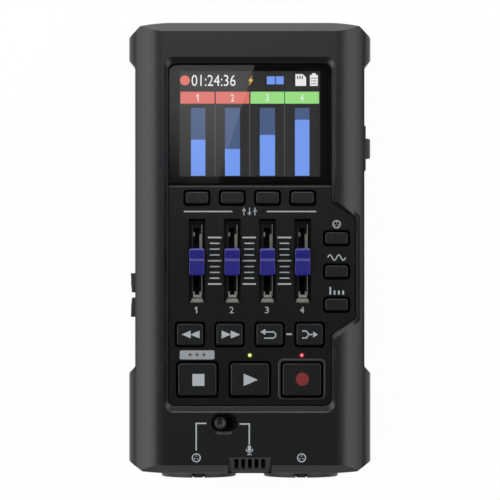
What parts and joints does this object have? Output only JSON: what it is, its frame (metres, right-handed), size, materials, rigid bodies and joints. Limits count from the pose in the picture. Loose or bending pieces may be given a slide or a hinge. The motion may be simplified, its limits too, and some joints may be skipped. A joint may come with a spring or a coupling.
{
  "type": "digital multitrack recorder",
  "caption": "Handheld digital multitrack recorder with colour display, sliding faders, transport keys, side dial and combination microphone jacks.",
  "frame": {"origin": "centre of the bounding box's underside, where the recorder lies on its back", "axes": "+Z out of the control panel, +Y from the jacks towards the display end, +X to the right of the display"},
  "size_m": [0.0707, 0.133, 0.0433],
  "materials": {
    "shell": "charcoal moulded ABS with a fine spark texture",
    "panel": "dark grey moulded ABS with pale screen-printed marks",
    "window": "clear acrylic with a black printed border",
    "screen": "colour LCD showing level bars",
    "key": "black-grey moulded key caps with printed symbols",
    "blue_cap": "violet-blue moulded fader caps",
    "black_plastic": "black nylon and ABS of jacks, dial and side buttons",
    "steel": "nickel-plated sheet steel and screws",
    "brass": "turned brass insert",
    "board": "green glass-epoxy board",
    "green_light": "lit yellow-green light pipe",
    "red_light": "lit red light pipe",
    "cell": "plain sleeved AA cells"
  },
  "bodies": {
    "case": {"front_shell": "shell", "rear_shell": "shell", "control_panel": "panel", "display_window": "window", "lcd_module": "screen", "play_light": "green_light", "record_light": "red_light", "fader_frame_1": "steel", "fader_frame_2": "steel", "fader_frame_3": "steel", "fader_frame_4": "steel", "main_board": "board", "combo_jack_a": "black_plastic", "combo_jack_b": "black_plastic", "input_switch_body": "black_plastic", "mic_grille": "shell", "mic_capsule": "steel", "dial_encoder": "steel", "dial_bezel": "black_plastic", "phones_jack": "black_plastic", "usb_port": "steel", "battery_cell_1": "cell", "battery_cell_2": "cell", "case_screw_1": "steel", "case_screw_2": "steel", "case_screw_3": "steel", "case_screw_4": "steel", "tripod_insert": "brass"},
    "track_key_1": {"track_key_1": "key"},
    "track_key_2": {"track_key_2": "key"},
    "track_key_3": {"track_key_3": "key"},
    "track_key_4": {"track_key_4": "key"},
    "input_key": {"input_key": "key"},
    "effect_key": {"effect_key": "key"},
    "rhythm_key": {"rhythm_key": "key"},
    "rewind_key": {"rewind_key": "key"},
    "forward_key": {"forward_key": "key"},
    "undo_key": {"undo_key": "key"},
    "bounce_key": {"bounce_key": "key"},
    "stop_key": {"stop_key": "key"},
    "play_key": {"play_key": "key"},
    "record_key": {"record_key": "key"},
    "fader_1": {"fader_cap_1": "blue_cap", "fader_lever_1": "black_plastic"},
    "fader_2": {"fader_cap_2": "blue_cap", "fader_lever_2": "black_plastic"},
    "fader_3": {"fader_cap_3": "blue_cap", "fader_lever_3": "black_plastic"},
    "fader_4": {"fader_cap_4": "blue_cap", "fader_lever_4": "black_plastic"},
    "input_switch": {"input_switch_knob": "key"},
    "release_tab_a": {"release_tab_a": "black_plastic"},
    "release_tab_b": {"release_tab_b": "black_plastic"},
    "dial_shaft": {"dial_shaft": "steel"},
    "dial_wheel": {"dial_wheel": "black_plastic"},
    "volume_up": {"volume_up_button": "black_plastic"},
    "volume_down": {"volume_down_button": "black_plastic"},
    "power_switch": {"power_switch": "key"},
    "memory_card": {"memory_card": "black_plastic"},
    "battery_cover": {"battery_cover": "shell"}
  },
  "joints": [
    {"name": "fader_1_slide", "type": "slide", "parent": "case", "child": "fader_1", "axis": [0, 1, 0], "range_m": [-0.0075, 0.0075]},
    {"name": "fader_2_slide", "type": "slide", "parent": "case", "child": "fader_2", "axis": [0, 1, 0], "range_m": [-0.0075, 0.0075]},
    {"name": "fader_3_slide", "type": "slide", "parent": "case", "child": "fader_3", "axis": [0, 1, 0], "range_m": [-0.0075, 0.0075]},
    {"name": "fader_4_slide", "type": "slide", "parent": "case", "child": "fader_4", "axis": [0, 1, 0], "range_m": [-0.0075, 0.0075]},
    {"name": "dial_push", "type": "slide", "parent": "case", "child": "dial_shaft", "axis": [-1, 0, 0], "range_m": [0, 0.0008], "stiffness_N_per_m": 800, "springref_m": -0.0003},
    {"name": "dial_turn", "type": "hinge", "parent": "dial_shaft", "child": "dial_wheel", "pos_m": [0.0284, 0.0301, 0.0283], "axis": [0, 1, 0], "continuous": true},
    {"name": "input_switch_slide", "type": "slide", "parent": "case", "child": "input_switch", "axis": [1, 0, 0], "range_m": [0, 0.0024]},
    {"name": "battery_cover_hinge", "type": "hinge", "parent": "case", "child": "battery_cover", "pos_m": [0, 0.035, 0.0015], "axis": [1, 0, 0], "range_deg": [0, 100]},
    {"name": "memory_card_slide", "type": "slide", "parent": "case", "child": "memory_card", "axis": [1, 0, 0], "range_m": [0, 0.012]},
    {"name": "power_switch_slide", "type": "slide", "parent": "case", "child": "power_switch", "axis": [0, 1, 0], "range_m": [0, 0.003]},
    {"name": "volume_up_press", "type": "slide", "parent": "case", "child": "volume_up", "axis": [1, 0, 0], "range_m": [0, 0.0007], "stiffness_N_per_m": 600, "springref_m": -0.0003},
    {"name": "volume_down_press", "type": "slide", "parent": "case", "child": "volume_down", "axis": [1, 0, 0], "range_m": [0, 0.0007], "stiffness_N_per_m": 600, "springref_m": -0.0003},
    {"name": "release_tab_a_press", "type": "slide", "parent": "case", "child": "release_tab_a", "axis": [0, 1, 0], "range_m": [0, 0.001], "stiffness_N_per_m": 600, "springref_m": -0.0003},
    {"name": "release_tab_b_press", "type": "slide", "parent": "case", "child": "release_tab_b", "axis": [0, 1, 0], "range_m": [0, 0.001], "stiffness_N_per_m": 600, "springref_m": -0.0003},
    {"name": "track_key_1_press", "type": "slide", "parent": "case", "child": "track_key_1", "axis": [0, 0, -1], "range_m": [0, 0.0008], "stiffness_N_per_m": 600, "springref_m": -0.0003},
    {"name": "track_key_2_press", "type": "slide", "parent": "case", "child": "track_key_2", "axis": [0, 0, -1], "range_m": [0, 0.0008], "stiffness_N_per_m": 600, "springref_m": -0.0003},
    {"name": "track_key_3_press", "type": "slide", "parent": "case", "child": "track_key_3", "axis": [0, 0, -1], "range_m": [0, 0.0008], "stiffness_N_per_m": 600, "springref_m": -0.0003},
    {"name": "track_key_4_press", "type": "slide", "parent": "case", "child": "track_key_4", "axis": [0, 0, -1], "range_m": [0, 0.0008], "stiffness_N_per_m": 600, "springref_m": -0.0003},
    {"name": "input_key_press", "type": "slide", "parent": "case", "child": "input_key", "axis": [0, 0, -1], "range_m": [0, 0.0008], "stiffness_N_per_m": 600, "springref_m": -0.0003},
    {"name": "effect_key_press", "type": "slide", "parent": "case", "child": "effect_key", "axis": [0, 0, -1], "range_m": [0, 0.0008], "stiffness_N_per_m": 600, "springref_m": -0.0003},
    {"name": "rhythm_key_press", "type": "slide", "parent": "case", "child": "rhythm_key", "axis": [0, 0, -1], "range_m": [0, 0.0008], "stiffness_N_per_m": 600, "springref_m": -0.0003},
    {"name": "rewind_key_press", "type": "slide", "parent": "case", "child": "rewind_key", "axis": [0, 0, -1], "range_m": [0, 0.0008], "stiffness_N_per_m": 600, "springref_m": -0.0003},
    {"name": "forward_key_press", "type": "slide", "parent": "case", "child": "forward_key", "axis": [0, 0, -1], "range_m": [0, 0.0008], "stiffness_N_per_m": 600, "springref_m": -0.0003},
    {"name": "undo_key_press", "type": "slide", "parent": "case", "child": "undo_key", "axis": [0, 0, -1], "range_m": [0, 0.0008], "stiffness_N_per_m": 600, "springref_m": -0.0003},
    {"name": "bounce_key_press", "type": "slide", "parent": "case", "child": "bounce_key", "axis": [0, 0, -1], "range_m": [0, 0.0008], "stiffness_N_per_m": 600, "springref_m": -0.0003},
    {"name": "stop_key_press", "type": "slide", "parent": "case", "child": "stop_key", "axis": [0, 0, -1], "range_m": [0, 0.0008], "stiffness_N_per_m": 600, "springref_m": -0.0003},
    {"name": "play_key_press", "type": "slide", "parent": "case", "child": "play_key", "axis": [0, 0, -1], "range_m": [0, 0.0008], "stiffness_N_per_m": 600, "springref_m": -0.0003},
    {"name": "record_key_press", "type": "slide", "parent": "case", "child": "record_key", "axis": [0, 0, -1], "range_m": [0, 0.0008], "stiffness_N_per_m": 600, "springref_m": -0.0003}
  ]
}
